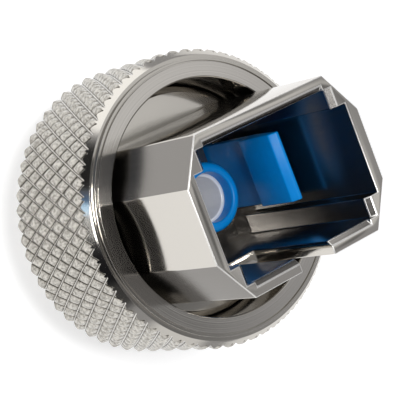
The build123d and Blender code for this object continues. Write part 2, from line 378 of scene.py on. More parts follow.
def turned_nickel():
    """Nickel plate on a turned face: it mirrors softly, with fine rings round the axis."""
    material, tree, place = new_material("satin nickel plate, turned")
    rings = add(tree, "ShaderNodeTexNoise", {"noise_dimensions": "1D"}, W=axis_distance(tree, place),
                Scale=grain_scale(FEED), Detail=2.0)
    cloud = add(tree, "ShaderNodeTexNoise", Vector=place, Scale=grain_scale(CLOUD_WIDTH), Detail=3.0)
    rough = add(tree, "ShaderNodeMapRange", Value=cloud.outputs[0], To_Min=0.08, To_Max=0.15)
    tint = add(tree, "ShaderNodeMix", RGBA, n0=rings.outputs[0], n6=colour("#C2BEB8"),
               n7=colour("#DAD6D0"))
    bump = add(tree, "ShaderNodeBump", Strength=0.15, Distance=0.000012, Height=rings.outputs[0])
    shader = add(tree, "ShaderNodeBsdfPrincipled", Metallic=1.0, Base_Color=tint.outputs[2],
                 Roughness=rough.outputs[0], Normal=bump.outputs[0])
    return finish_material(material, shader)


materials["turned"] = turned_nickel()
print("material:", materials["turned"].name)

# %% [markdown]
# ## Bright nickel
# The receptacle is plated too, but polished, and so are the nut's chamfer and bead. A plain mirror looks
# drawn, so this one has the smears of a fingertip and fine polishing marks along the axis. A brushed
# shader could give the marks. A Mapping node that draws a noise out along Z is simpler.

# %% Bright nickel, polished
# Real polishing marks are hundredths of a millimetre wide, so these are drawn coarser.
POLISH_WIDTH = 0.1667
POLISH_STRETCH = 0.06
SMEAR_WIDTH = 2.86


def bright_nickel():
    """Polished nickel plate: a mirror with faint smears, and fine marks along the axis."""
    material, tree, place = new_material("bright nickel plate, polished")
    drawn = add(tree, "ShaderNodeMapping", Vector=place, Scale=(1.0, 1.0, POLISH_STRETCH))
    marks = add(tree, "ShaderNodeTexNoise", Vector=drawn.outputs[0], Scale=grain_scale(POLISH_WIDTH),
                Detail=3.0)
    smears = add(tree, "ShaderNodeTexNoise", Vector=place, Scale=grain_scale(SMEAR_WIDTH), Detail=4.0)
    rough = add(tree, "ShaderNodeMapRange", Value=smears.outputs[0], To_Min=0.06, To_Max=0.16)
    bump = add(tree, "ShaderNodeBump", Strength=0.08, Distance=0.000006, Height=marks.outputs[0])
    shader = add(tree, "ShaderNodeBsdfPrincipled", Metallic=1.0, Base_Color=colour("#C9C5BE"),
                 Roughness=rough.outputs[0], Normal=bump.outputs[0])
    return finish_material(material, shader)


materials["bright"] = bright_nickel()
print("material:", materials["bright"].name)

# %% [markdown]
# ## Milled walls, tumbled edges and steel
# The port's walls were milled, and no polishing wheel reaches them, so they are rougher, and a darker
# tint paints the shade inside the port. The mouth's edges were rounded by tumbling, and the palest tint
# paints a highlight on them. The snap ring and the key are drawn steel, a cooler grey. Each could have a
# tree of its own, but they differ only in numbers.

# %% Milled, tumbled and drawn metal
MILLING_WIDTH, MILLING_STRETCH = 0.2, 0.05
# The nicks of tumbling and the marks of drawing are finer than this, and are drawn coarser to show.
NICK_WIDTH = 0.25


def plain_metal(name, tint, width, roughness, stretch=1.0):
    """A metal of one tint. Grains of this width, drawn out along the axis, vary its roughness."""
    material, tree, place = new_material(name)
    drawn = add(tree, "ShaderNodeMapping", Vector=place, Scale=(1.0, 1.0, stretch))
    marks = add(tree, "ShaderNodeTexNoise", Vector=drawn.outputs[0], Scale=grain_scale(width), Detail=3.0)
    rough = add(tree, "ShaderNodeMapRange", Value=marks.outputs[0], To_Min=roughness[0], To_Max=roughness[1])
    shader = add(tree, "ShaderNodeBsdfPrincipled", Metallic=1.0, Base_Color=colour(tint),
                 Roughness=rough.outputs[0])
    if stretch != 1.0:
        bump = add(tree, "ShaderNodeBump", Strength=0.05, Distance=0.00001, Height=marks.outputs[0])
        tree.links.new(bump.outputs[0], shader.inputs["Normal"])
    return finish_material(material, shader)


# Rougher than the polished outside, with marks along the cutter's path, and darker: painted shade in the
# port.
materials["milled"] = plain_metal("milled nickel plate with painted shade", "#84817D", MILLING_WIDTH, (0.2, 0.28),
                                  MILLING_STRETCH)
# The palest and softest of the metals, a painted highlight that gives the mouth a light outline.
materials["edge"] = plain_metal("nickel plate, tumbled edges, painted highlight", "#F2F0EC", NICK_WIDTH, (0.25, 0.45))
# Bright but not plated, so it looks grey beside the nickel.
materials["steel"] = plain_metal("spring steel, drawn", "#BDBDBD", NICK_WIDTH, (0.2, 0.35))
print("metals so far:", [metal.name for metal in materials.values()])

# %% [markdown]
# ## Blue polyester
# The insert is moulded in a blue engineering plastic, a polyester, slightly glossy, with the faint orange
# peel of its mould. A plain glossy blue could stand for it, but it looks like paint. A little subsurface
# light makes the edges glow as plastic does.

# %% Blue polyester, moulded
PEEL_WIDTH = 0.4


def blue_polyester():
    """Moulded blue polyester: clean gloss over a fine mould texture, a little light inside it."""
    material, tree, place = new_material("blue polyester, moulded")
    peel = add(tree, "ShaderNodeTexNoise", Vector=place, Scale=grain_scale(PEEL_WIDTH), Detail=2.0)
    rough = add(tree, "ShaderNodeMapRange", Value=peel.outputs[0], To_Min=0.28, To_Max=0.4)
    tint = add(tree, "ShaderNodeMix", RGBA, n0=peel.outputs[0], n6=colour("#0088DC"),
               n7=colour("#0094EA"))
    bump = add(tree, "ShaderNodeBump", Strength=0.1, Distance=0.000008, Height=peel.outputs[0])
    shader = add(tree, "ShaderNodeBsdfPrincipled", Base_Color=tint.outputs[2], Roughness=rough.outputs[0],
                 IOR=1.5, Normal=bump.outputs[0])
    shader.inputs["Specular IOR Level"].default_value = 0.3
    shader.inputs["Subsurface Weight"].default_value = 0.15
    shader.inputs["Subsurface Radius"].default_value = (0.2, 0.5, 1.0)
    shader.inputs["Subsurface Scale"].default_value = 0.4 * MM
    return finish_material(material, shader)


materials["blue"] = blue_polyester()
print("material:", materials["blue"].name)

# %% [markdown]
# ## Zirconia
# The sleeve is ground zirconia, a ceramic: milky white, hard and glossy. White paint would look flat here.
# Its high index of refraction gives the bright rim, and subsurface light carries white down into the bore.

# %% Zirconia, ground
# The lines of the grinding wheel are a tenth of this width, so they are drawn coarser.
GRIND_WIDTH = 0.125


def zirconia():
    """Ground zirconia: milky white, glossy, a little translucent."""
    material, tree, place = new_material("zirconia, ground")
    grind = add(tree, "ShaderNodeTexNoise", Vector=place, Scale=grain_scale(GRIND_WIDTH), Detail=2.0)
    rough = add(tree, "ShaderNodeMapRange", Value=grind.outputs[0], To_Min=0.15, To_Max=0.25)
    tint = add(tree, "ShaderNodeMix", RGBA, n0=grind.outputs[0], n6=colour("#F6F7FB"),
               n7=colour("#FCFCFE"))
    shader = add(tree, "ShaderNodeBsdfPrincipled", Base_Color=tint.outputs[2], Roughness=rough.outputs[0],
                 IOR=2.1)
    shader.inputs["Subsurface Weight"].default_value = 0.6
    shader.inputs["Subsurface Radius"].default_value = (1.0, 0.97, 0.95)
    shader.inputs["Subsurface Scale"].default_value = 0.3 * MM
    return finish_material(material, shader)


materials["zirconia"] = zirconia()
print("material:", materials["zirconia"].name)

# %% [markdown]
# ## One diamond of the knurl
# A knurling tool presses two hands of V grooves into the nut, and leaves rows of diamonds with rounded
# tops. A bump map could fake them, but their outline shows at the nut's edge. So one diamond is modelled
# as a pillow with few faces, in levels that are shares of the whole diamond.

# %% One diamond of the knurl
KNURL_COUNT = 60
KNURL_ANGLE = 28.1
REAR_COLLAR = 0.3
KNURL_LOW_Z = NUT_REAR_Z + REAR_COLLAR
HALF_COLUMN = pi * KNURL_R / KNURL_COUNT
HALF_ROW = HALF_COLUMN / tan(radians(KNURL_ANGLE))
GROOVE_FLAT = 0.035
FOOT_RISE = 0.02
FOOT_STEP = 0.04
PILLOW = 1.6
# Levels above the foot: the share of the diamond, and how round it is.
SHOULDERS = ((0.74, 0.15), (0.55, 0.3), (0.36, 0.5), (0.16, 0.8))
EDGE_MIDDLE = 0.7071
POINT_DRAWN_IN = 0.12
EDGE_PUSHED_OUT = 0.14


def diamond_tile():
    """A pillow on a diamond: a narrow flat groove round it, then flanks that bend over to a soft peak."""
    half_width = HALF_COLUMN * HALF_ROW / hypot(HALF_COLUMN, HALF_ROW)
    foot = 1.0 - GROOVE_FLAT / half_width
    levels = [(1.0, 0.0, 0.0), (foot, FOOT_RISE, 0.0)]
    for size, softness in ((foot - FOOT_STEP, 0.0), *SHOULDERS):
        levels.append((size, 1.0 - size ** PILLOW, softness))
    bm = bmesh.new()
    rings = []
    for size, height, softness in levels:
        radius = KNURL_R - KNURL_DEPTH * (1.0 - height)
        at_point = size * (1.0 - POINT_DRAWN_IN * softness)
        at_edge = size * (EDGE_MIDDLE + EDGE_PUSHED_OUT * softness)
        ring = []
        for corner in range(8):
            reach = at_edge if corner % 2 else at_point
            angle = reach * cos(corner * pi / 4) * pi / KNURL_COUNT
            up_the_nut = reach * sin(corner * pi / 4) * HALF_ROW
            ring.append(bm.verts.new((radius * cos(angle), radius * sin(angle), up_the_nut)))
        rings.append(ring)
    for low, high in zip(rings, rings[1:]):
        for index in range(8):
            after = (index + 1) % 8
            bm.faces.new((low[index], low[after], high[after], high[index]))
    peak = bm.verts.new((KNURL_R, 0.0, 0.0))
    for index in range(8):
        bm.faces.new((rings[-1][index], rings[-1][(index + 1) % 8], peak))
    mesh = bpy.data.meshes.new("diamond tile")
    bm.to_mesh(mesh)
    bm.free()
    mesh.transform(Matrix.Scale(MM, 4))
    return new_object("diamond tile", mesh)


tile = diamond_tile()
print("diamond faces:", len(tile.data.polygons), "width and height:", round(2 * HALF_COLUMN, 3),
      round(2 * HALF_ROW, 3))

# %% [markdown]
# ## A tree for the knurl
# The diamonds repeat by a plain rule: columns round the nut, rows up it, and each row turned by half a
# column. Arrays could be stacked, but not staggered. In Geometry Nodes there is one point per diamond, and
# its index gives the row and the column, and so the height and the turn.


# %% A tree for the knurl
def new_tree(name, sizes):
    """A Geometry Nodes tree with a named input for each size, and these inputs."""
    tree = bpy.data.node_groups.new(name, "GeometryNodeTree")
    tree.interface.new_socket("Geometry", in_out="INPUT", socket_type="NodeSocketGeometry")
    for key, value in sizes.items():
        kind = "NodeSocketInt" if isinstance(value, int) else "NodeSocketFloat"
        tree.interface.new_socket(key, in_out="INPUT", socket_type=kind).default_value = value
    tree.interface.new_socket("Geometry", in_out="OUTPUT", socket_type="NodeSocketGeometry")
    return tree, add(tree, "NodeGroupInput").outputs


def run_tree(tree, name, sizes):
    """Run a Geometry Nodes tree on an empty mesh and return its result as a plain piece."""
    holder = piece_from(name, bpy.data.meshes.new(name))
    step = holder.modifiers.new("nodes", "NODES")
    step.node_group = tree
    for item in tree.interface.items_tree:
        if item.item_type == "SOCKET" and item.in_out == "INPUT" and item.name in sizes:
            step[item.identifier] = sizes[item.name]
    return settle(holder)


HALF_ROWS = int((NUT_FRONT_Z - KNURL_LOW_Z) / HALF_ROW) + 3
KNURL_SIZES = {
    "Columns": KNURL_COUNT,
    "Half rows": HALF_ROWS,
    "Row height": 2 * HALF_ROW * MM,
    "First row": (KNURL_LOW_Z - HALF_ROW) * MM,
}


def knurl_tree(tile, material):
    """Place the tile on every column and row, odd rows turned by half a tile."""
    tree, given = new_tree("knurl", KNURL_SIZES)
    multiply, divide = {"operation": "MULTIPLY"}, {"operation": "DIVIDE"}
    count = add(tree, "ShaderNodeMath", multiply, n0=given["Columns"], n1=given["Half rows"])
    points = add(tree, "GeometryNodeMeshLine", Count=count.outputs[0], Offset=(0.0, 0.0, 0.0))
    index = add(tree, "GeometryNodeInputIndex").outputs[0]
    row = add(tree, "ShaderNodeMath", divide, n0=index, n1=given["Columns"])
    row = add(tree, "ShaderNodeMath", {"operation": "FLOOR"}, n0=row.outputs[0])
    column = add(tree, "ShaderNodeMath", {"operation": "MODULO"}, n0=index, n1=given["Columns"])
    shift = add(tree, "ShaderNodeMath", multiply, n0=row.outputs[0], n1=0.5)
    steps = add(tree, "ShaderNodeMath", n0=column.outputs[0], n1=shift.outputs[0])
    turn = add(tree, "ShaderNodeMath", divide, n0=2 * pi, n1=given["Columns"])
    angle = add(tree, "ShaderNodeMath", multiply, n0=steps.outputs[0], n1=turn.outputs[0])
    height = add(tree, "ShaderNodeMath", multiply, n0=shift.outputs[0], n1=given["Row height"])
    height = add(tree, "ShaderNodeMath", n0=height.outputs[0], n1=given["First row"])
    place = add(tree, "ShaderNodeCombineXYZ", Z=height.outputs[0])
    spin = add(tree, "ShaderNodeCombineXYZ", Z=angle.outputs[0])
    moved = add(tree, "GeometryNodeSetPosition", Geometry=points.outputs[0], Position=place.outputs[0])
    shape = add(tree, "GeometryNodeObjectInfo", Object=tile)
    rotation = add(tree, "FunctionNodeEulerToRotation", n0=spin.outputs[0])
    tiles = add(tree, "GeometryNodeInstanceOnPoints", Points=moved.outputs[0],
                Instance=shape.outputs["Geometry"], Rotation=rotation.outputs[0])
    real = add(tree, "GeometryNodeRealizeInstances", Geometry=tiles.outputs[0])
    joined = add(tree, "GeometryNodeMergeByDistance", Geometry=real.outputs[0], Distance=0.002 * MM)
    painted = add(tree, "GeometryNodeSetMaterial", Geometry=joined.outputs[0], Material=material)
    add(tree, "NodeGroupOutput", n0=painted.outputs[0])
    return tree


knurling = knurl_tree(tile, materials["satin"])
print("nodes in the knurl's tree:", len(knurling.nodes))

# %% [markdown]
# ## The knurled skin
# The tree leaves an open skin of diamonds that reaches past the knurl's ends. It could be trimmed there.
# It is simpler to close it with a disc at each end and to cut the turned nut to that solid, which cuts the
# diamonds off cleanly, as on the real nut.

# %% Instance the diamonds and close the skin
knurl = run_tree(knurling, "knurl", KNURL_SIZES)
bpy.data.objects.remove(tile)
bm = bmesh.new()
bm.from_mesh(knurl.data)
bmesh.ops.holes_fill(bm, edges=[edge for edge in bm.edges if edge.is_boundary], sides=0)
bm.to_mesh(knurl.data)
print("knurl faces:", len(bm.faces), "open edges:", sum(edge.is_boundary for edge in bm.edges))
bm.free()

# %% [markdown]
# ## The nut's blank
# The nut is turned from bar: a flat face with a fine groove and a bead near its rim, a ledge, a chamfer at
# 45 degrees, and a lip with a cone behind it that presses on the receptacle's flange. Solids could be added
# and cut, but one outline holds every step, and a lathe works so.

# %% Turn the blank
OPENING_R = 6.74
THREAD_MINOR_R, THREAD_MAJOR_R, THREAD_PITCH = 7.094, 7.5, 0.75
FACE_R, BEAD_R, BEAD_END_R, LEDGE_R = 7.62, 7.70, 7.84, 8.05
GROOVE_Z = NUT_FRONT_Z - 0.10
LEDGE_Z = NUT_FRONT_Z - 0.18
CHAMFER_START = 0.1
COLLAR_R = KNURL_R - KNURL_DEPTH - 0.15
BLANK_R = KNURL_R + 0.2
COUNTERSINK_R = THREAD_MAJOR_R + 0.08
NUT_GROOVE_R = THREAD_MAJOR_R - 0.06
SEAT_GAP = 0.08
SEAT_Z = FLANGE_Z - (OPENING_R - FLANGE_FLAT_R) + SEAT_GAP

blank_outline = rounded([
    (OPENING_R, NUT_FRONT_Z, 0.09), (FACE_R, NUT_FRONT_Z, 0.01), (FACE_R, GROOVE_Z), (BEAD_R, GROOVE_Z),
    (BEAD_R, NUT_FRONT_Z, 0.015), (BEAD_END_R, NUT_FRONT_Z, 0.015), (BEAD_END_R, LEDGE_Z),
    (LEDGE_R, LEDGE_Z, 0.01), (LEDGE_R + CHAMFER_START, LEDGE_Z - CHAMFER_START),
    (BLANK_R, LEDGE_Z - BLANK_R + LEDGE_R), (BLANK_R, KNURL_LOW_Z), (COLLAR_R, KNURL_LOW_Z),
    (COLLAR_R, NUT_REAR_Z, 0.12), (COUNTERSINK_R, NUT_REAR_Z, 0.05),
    (THREAD_MINOR_R, NUT_REAR_Z + COUNTERSINK_R - THREAD_MINOR_R), (THREAD_MINOR_R, RING_Z - RING_HALF),
    (NUT_GROOVE_R, RING_Z - RING_HALF), (NUT_GROOVE_R, RING_Z + RING_HALF),
    (THREAD_MINOR_R, RING_Z + RING_HALF), (THREAD_MINOR_R, SEAT_Z - (THREAD_MINOR_R - OPENING_R)),
    (OPENING_R, SEAT_Z, 0.04),
])
nut = lathe("nut", blank_outline, steps=4 * KNURL_COUNT)
print("blank faces:", len(nut.data.polygons), "cone seat up to", round(SEAT_Z, 2))

# %% [markdown]
# ## A tree for the thread
# The thread is a helix, cut by a pointed tool that moves on by one pitch each turn. The Screw modifier
# could sweep it. A tree that sweeps the tool's section along a spiral has named inputs for its sizes.

# %% A tree for the thread
THREAD_TURNS = 5.0
STEPS_A_TURN = 96
# The cutter's corners: outwards in depths or inwards in pitches, and along in pitches.
CUTTER_SECTION = ((-0.1, 0.44), (1.0, 0.0625), (1.0, -0.0625), (-0.1, -0.44))
THREAD_SIZES = {
    "Turns": THREAD_TURNS,
    "Pitch": THREAD_PITCH * MM,
    "Radius": THREAD_MINOR_R * MM,
    "Depth": (THREAD_MAJOR_R - THREAD_MINOR_R) * MM,
    "Start": (NUT_REAR_Z - THREAD_PITCH / 2) * MM,
}


def thread_tree(material):
    """A triangular cutter swept along a spiral. Reverse makes the spiral right-handed."""
    tree, given = new_tree("thread", THREAD_SIZES)
    multiply = {"operation": "MULTIPLY"}
    rise = add(tree, "ShaderNodeMath", multiply, n0=given["Turns"], n1=given["Pitch"])
    spiral = add(tree, "GeometryNodeCurveSpiral", Resolution=STEPS_A_TURN, Rotations=given["Turns"],
                 Start_Radius=given["Radius"], End_Radius=given["Radius"], Height=rise.outputs[0],
                 Reverse=True)
    lift = add(tree, "ShaderNodeCombineXYZ", Z=given["Start"])
    spiral = add(tree, "GeometryNodeTransform", Geometry=spiral.outputs[0], Translation=lift.outputs[0])
    upright = add(tree, "GeometryNodeSetCurveNormal", {"mode": "Z_UP"}, Curve=spiral.outputs[0])
    corners = []
    for outwards, along in CUTTER_SECTION:
        size = given["Depth"] if outwards > 0 else given["Pitch"]
        out = add(tree, "ShaderNodeMath", multiply, n0=size, n1=outwards)
        side = add(tree, "ShaderNodeMath", multiply, n0=given["Pitch"], n1=along)
        corners.append(add(tree, "ShaderNodeCombineXYZ", X=out.outputs[0], Y=side.outputs[0]).outputs[0])
    cutter = add(tree, "GeometryNodeCurvePrimitiveQuadrilateral", {"mode": "POINTS"}, Point_1=corners[0],
                 Point_2=corners[1], Point_3=corners[2], Point_4=corners[3])
    swept = add(tree, "GeometryNodeCurveToMesh", Curve=upright.outputs[0], Profile_Curve=cutter.outputs[0],
                Fill_Caps=True)
    real = add(tree, "GeometryNodeRealizeInstances", Geometry=swept.outputs[0])
    painted = add(tree, "GeometryNodeSetMaterial", Geometry=real.outputs[0], Material=material)
    add(tree, "NodeGroupOutput", n0=painted.outputs[0])
    return tree


thread = run_tree(thread_tree(materials["turned"]), "thread", THREAD_SIZES)
start, later = [thread.data.vertices[step * len(CUTTER_SECTION)].co for step in (0, 8)]
right_handed = (start.x * later.y - start.y * later.x) * (later.z - start.z) > 0
print("thread cutter faces:", len(thread.data.polygons), "right-handed:", right_handed)

# %% [markdown]
# ## Cutting the nut
# The thread's cutter is taken out of the blank, and what the blank and the knurled skin share stays. The
# knurl could be put on as a sleeve, but a cut leaves one closed mesh. Both tools lose their materials
# first, because the nut's own are given by place in the next step.

# %% Cut the thread and the knurl
bm = bmesh.new()
bm.from_mesh(thread.data)
bmesh.ops.recalc_face_normals(bm, faces=bm.faces)
bm.to_mesh(thread.data)
bm.free()
thread.data.materials.clear()
knurl.data.materials.clear()
machine(nut, thread)
machine(nut, knurl, operation="INTERSECT")
print("nut faces:", len(nut.data.polygons))

# %% [markdown]
# ## Finishing the nut
# The diamonds are satin, the chamfer and the bead polished, and the rest as turned. Faces could be picked
# by hand, but their place and tilt tell them apart. Faces that lie flat are shaded flat, because smooth
# shading would bend what they mirror near the rounded edges.

# %% Finish the nut's faces
SATIN, TURNED, BRIGHT = range(3)
NEAR = 0.02
STEEP = 0.5
CHAMFER_TILT = (0.6, 0.8)
LIES_FLAT = 0.999
THREAD_END_R = THREAD_MAJOR_R + 0.05

soften(nut, 0, sharp=24.0)
for finish in ("satin", "turned", "bright"):
    nut.data.materials.append(materials[finish])
for face in nut.data.polygons:
    centre = face.center / MM
    out = hypot(centre.x, centre.y)
    in_knurl = out > KNURL_R - KNURL_DEPTH - NEAR and centre.z < LEDGE_Z
    on_cone = out > LEDGE_R + NEAR and CHAMFER_TILT[0] < face.normal.z < CHAMFER_TILT[1]
    on_bead = out > FACE_R + NEAR and centre.z > LEDGE_Z - NEAR
    if in_knurl and abs(face.normal.z) < STEEP:
        face.material_index = SATIN
    else:
        face.material_index = BRIGHT if on_cone or on_bead else TURNED
    outside_thread = out > THREAD_END_R or centre.z > RING_Z
    face.use_smooth = outside_thread and face.normal.z < LIES_FLAT
print("flat faces:", sum(not face.use_smooth for face in nut.data.polygons))
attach(nut, "nut")
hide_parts("coupling_nut")

# %% [markdown]
# ## The receptacle's shell
# The receptacle is one machined body: a turned flange and boss, and a milled octagonal shell with a port
# through it. One mesh could hold all of it. Two are better, because a shell of flat faces takes a fine,
# even bevel, and the base can't. Two wedges cut the ramps at the mouth.

# %% Mill the shell
MOUTH_Z = 20.0
SHELL_X, SHELL_Y = 6.12, 4.51
CUT_X, CUT_Y = 1.57, 2.46
KEYWAY_X, KEYWAY_END_Z = 1.2, 13.0
LEAD_IN = 0.3
SHELL_LOW_Z = 8.7
OVER = 1.0

octagon = [
    (SHELL_X, SHELL_Y - CUT_Y), (SHELL_X - CUT_X, SHELL_Y), (CUT_X - SHELL_X, SHELL_Y),
    (-SHELL_X, SHELL_Y - CUT_Y), (-SHELL_X, CUT_Y - SHELL_Y), (CUT_X - SHELL_X, -SHELL_Y),
    (SHELL_X - CUT_X, -SHELL_Y), (SHELL_X, CUT_Y - SHELL_Y),
]
port_outline = [
    (PORT_X, PORT_Y), (-PORT_X, PORT_Y), (-PORT_X, RECESS_Y), (-RECESS_X, RECESS_Y),
    (-RECESS_X, -RECESS_Y), (-PORT_X, -RECESS_Y), (-PORT_X, -PORT_Y), (PORT_X, -PORT_Y),
    (PORT_X, -RECESS_Y), (RECESS_X, -RECESS_Y), (RECESS_X, RECESS_Y), (PORT_X, RECESS_Y),
]


def wedge(half):
    """The section of a ramp cutter, half wide where it starts and wider by the lead-in at the mouth."""
    low, high = MOUTH_Z - LEAD_IN, MOUTH_Z + LEAD_IN
    return [(-half, low), (half, low), (half + 2 * LEAD_IN, high), (-half - 2 * LEAD_IN, high)]


shell = prism("receptacle_shell", octagon, SHELL_LOW_Z, MOUTH_Z - SHELL_LOW_Z)
port = prism("port", port_outline, FLOOR_Z - OVER, MOUTH_Z - FLOOR_Z + 2 * OVER)
lead_y = prism("lead_y", wedge(PORT_Y), LEAD_IN - PORT_X, 2 * (PORT_X - LEAD_IN), plane="YZ")
lead_x = prism("lead_x", wedge(PORT_X), -PORT_Y, 2 * PORT_Y, plane="XZ")
keyway_y = (-SHELL_Y - OVER, -PORT_Y + OVER)
keyway = block("keyway", (-KEYWAY_X, KEYWAY_X), keyway_y, (KEYWAY_END_Z, MOUTH_Z + OVER))
machine(shell, port, lead_y, lead_x, keyway)
print("shell faces before its edges:", len(shell.data.polygons))

# %% [markdown]
# ## Finishing the shell
# The bevel rounds every edge and gives it the palest metal, a painted highlight, which only the mouth keeps.
# The port's walls, darker with painted shade, could be a mesh of their own, but their place tells them from
# the outside. The ramps at the port's ends are shaded flat, so that they don't glint as the bevels beside
# them do.

# %% Finish the shell's faces
POLISHED, MILLED_AND_SHADED, HIGHLIT_EDGES = range(3)
EDGE_WIDTH = 0.06
MOUTH_BAND = 0.5
WALL_NEAR = 0.04
RAMP_TILT = (0.7, 0.71)

for finish in ("bright", "milled", "edge"):
    shell.data.materials.append(materials[finish])
soften(shell, EDGE_WIDTH, segments=3, finish=HIGHLIT_EDGES)
for face in shell.data.polygons:
    centre = face.center / MM
    # The mouth's rounded edges keep the palest metal, a painted highlight.
    if face.material_index == HIGHLIT_EDGES and centre.z > MOUTH_Z - MOUTH_BAND:
        continue
    inside = abs(centre.x) < RECESS_X + WALL_NEAR and abs(centre.y) < PORT_Y + LEAD_IN
    # The port's walls take the darker milled metal, painted shade inside the port.
    face.material_index = MILLED_AND_SHADED if inside and centre.z < MOUTH_Z - EDGE_WIDTH else POLISHED
    on_ramp = inside and centre.z > MOUTH_Z - LEAD_IN
    if on_ramp and RAMP_TILT[0] < abs(face.normal.x) < RAMP_TILT[1]:
        face.use_smooth = False
print("shell faces:", len(shell.data.polygons))
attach(shell, "adapter_body")
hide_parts("receptacle")

# %% [markdown]
# ## The receptacle's base
# Below the shell the body is turned: a flange with a cone that the nut presses on, a groove for the snap
# ring, and a boss. The outline could hold its pocket too, but the hooks' slots aren't turned, so the base
# is spun solid and then opened.

# %% Turn the base and open it
FLANGE_R, FLANGE_REAR_Z, BOSS_R = 7.039, 8.6, 6.35
GROOVE_FLOOR_R = FLANGE_R - 0.38
GROOVE_HALF = RING_HALF + 0.06
TUBE_R = 2.02
HOOK_HALF, ARM_X, HOOK_BACK_X = 2.05, 4.45, 5.0
INSERT_FIT = 0.1
KEY_Y, KEY_Z = -4.6, 7.95
KEY_R, KEY_LENGTH, KEY_FIT = 0.5, 2.25, 0.02
JOINT = 0.001

base_outline = rounded([
    (0.0, NOSE_Z + JOINT), (BOSS_R, NOSE_Z + JOINT, 0.15), (BOSS_R, FLANGE_REAR_Z, 0.05),
    (FLANGE_R, FLANGE_REAR_Z, 0.06), (FLANGE_R, RING_Z - GROOVE_HALF), (GROOVE_FLOOR_R, RING_Z - GROOVE_HALF),
    (GROOVE_FLOOR_R, RING_Z + GROOVE_HALF), (FLANGE_R, RING_Z + GROOVE_HALF),
    (FLANGE_R, FLANGE_Z - (FLANGE_R - FLANGE_FLAT_R), 0.05), (FLANGE_FLAT_R, FLANGE_Z, 0.04), (0.0, FLANGE_Z),
])
base = lathe("receptacle_base", base_outline)
socket = prism("socket", octagon, SHELL_LOW_Z, FLANGE_Z - SHELL_LOW_Z + OVER)
cavity = prism("cavity", port_outline, FLOOR_Z, SHELL_LOW_Z - FLOOR_Z + OVER / 2)
through_web = (WEB_Z - OVER / 2, FLOOR_Z + OVER / 2)
pocket = bar("pocket", POCKET_R, (NOSE_Z - OVER, WEB_Z), 96)
tube_hole = bar("tube_hole", TUBE_R + INSERT_FIT, through_web, 64)
slot_y = (-HOOK_HALF - INSERT_FIT, HOOK_HALF + INSERT_FIT)
slots = []
for side in (-1, 1):
    slot_x = sorted((side * (ARM_X - INSERT_FIT), side * (HOOK_BACK_X + INSERT_FIT)))
    slots.append(block(f"slot{side}", slot_x, slot_y, through_web))
key_bore = bar("key_bore", KEY_R + KEY_FIT, (0.0, KEY_LENGTH + OVER), 32)
to_key = Matrix.Translation(Vector((0, KEY_Y, KEY_Z)) * MM) @ Matrix.Rotation(pi / 2, 4, "X")
key_bore.data.transform(to_key)
machine(base, socket, cavity, pocket, tube_hole, *slots, key_bore)
print("base faces:", len(base.data.polygons))

# %% Finish the base's faces
BELOW_FLOOR, BELOW_FLANGE = 0.05, 0.1

soften(base, 0)
for finish in ("bright", "milled"):
    base.data.materials.append(materials[finish])
for face in base.data.polygons:
    centre = face.center / MM
    inside = abs(centre.x) < RECESS_X + NEAR and abs(centre.y) < PORT_Y + NEAR
    in_port = inside and FLOOR_Z - BELOW_FLOOR < centre.z < FLANGE_Z - BELOW_FLANGE
    # The port's floor takes the darker milled metal, painted shade inside the port.
    face.material_index = MILLED_AND_SHADED if in_port else POLISHED
print("milled faces:", sum(face.material_index == MILLED_AND_SHADED for face in base.data.polygons))
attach(base, "adapter_body")
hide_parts("receptacle")

# %% [markdown]
# ## The blue insert's tube
# The insert is one moulding: a disc behind the port's floor, the tube that holds the sleeve, and two hooks
# that catch the plug. The tube and disc could be two solids, but one outline makes both, with larger radii
# than on metal, because moulded edges are softer.

# %% Mould the tube and the disc
TUBE_END_Z = 12.8
LIP_HOLE_R, SLEEVE_BORE_R = 1.43, 1.65
LIP_Z = 11.95
DISC_R = POCKET_R - 0.05
tube_outline = rounded([
    (LIP_HOLE_R, LIP_Z), (SLEEVE_BORE_R, LIP_Z), (SLEEVE_BORE_R, INSERT_Z), (DISC_R, INSERT_Z),
    (DISC_R, WEB_Z), (TUBE_R, WEB_Z), (TUBE_R, TUBE_END_Z, 0.48), (LIP_HOLE_R, TUBE_END_Z, 0.14),
], steps=6)
insert = lathe("latch_insert", tube_outline, steps=96)
print("tube and disc faces:", len(insert.data.polygons))

# %% [markdown]
# ## The hooks
# Each hook has a slope that lets the plug push it aside, and a flat shoulder that holds the plug. It could
# be bent from a box, but its side view says it all, so that is pushed across its width.

# %% Mould the hooks
HOOK_TIP_Z, HOOK_SHOULDER_Z, HOOK_BACK_Z = 14.75, 11.52, 12.24
HOOK_X, HOOK_LEAD, HOOK_TOP = 3.92, 0.36, 0.2
HOOK_ROOT_Z = INSERT_Z + 0.3
HOOK_EDGE = 0.08
hook_profile = [
    (ARM_X, HOOK_ROOT_Z), (ARM_X, HOOK_SHOULDER_Z), (HOOK_X, HOOK_SHOULDER_Z),
    (HOOK_X, HOOK_TIP_Z - HOOK_LEAD), (HOOK_X + HOOK_LEAD, HOOK_TIP_Z),
    (HOOK_X + HOOK_LEAD + HOOK_TOP, HOOK_TIP_Z), (HOOK_BACK_X, HOOK_BACK_Z), (HOOK_BACK_X, HOOK_ROOT_Z),
]
for side in (-1, 1):
    outline = [(side * x, z) for x, z in hook_profile]
    hook = prism("hook", outline, -HOOK_HALF, 2 * HOOK_HALF, plane="XZ")
    soften(hook, HOOK_EDGE, segments=3)
    machine(insert, hook, operation="UNION")
soften(insert, 0, sharp=40.0)
insert.data.materials.append(materials["blue"])
print("insert faces:", len(insert.data.polygons))
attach(insert, "adapter_body")
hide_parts("latch_insert")

# %% [markdown]
# ## The sleeve
# The sleeve is a thin ceramic tube with a slit from end to end, so it can spring open round the ferrules.
# The slit could be cut from a whole tube. It is less work to spin the outline not quite all the way round.

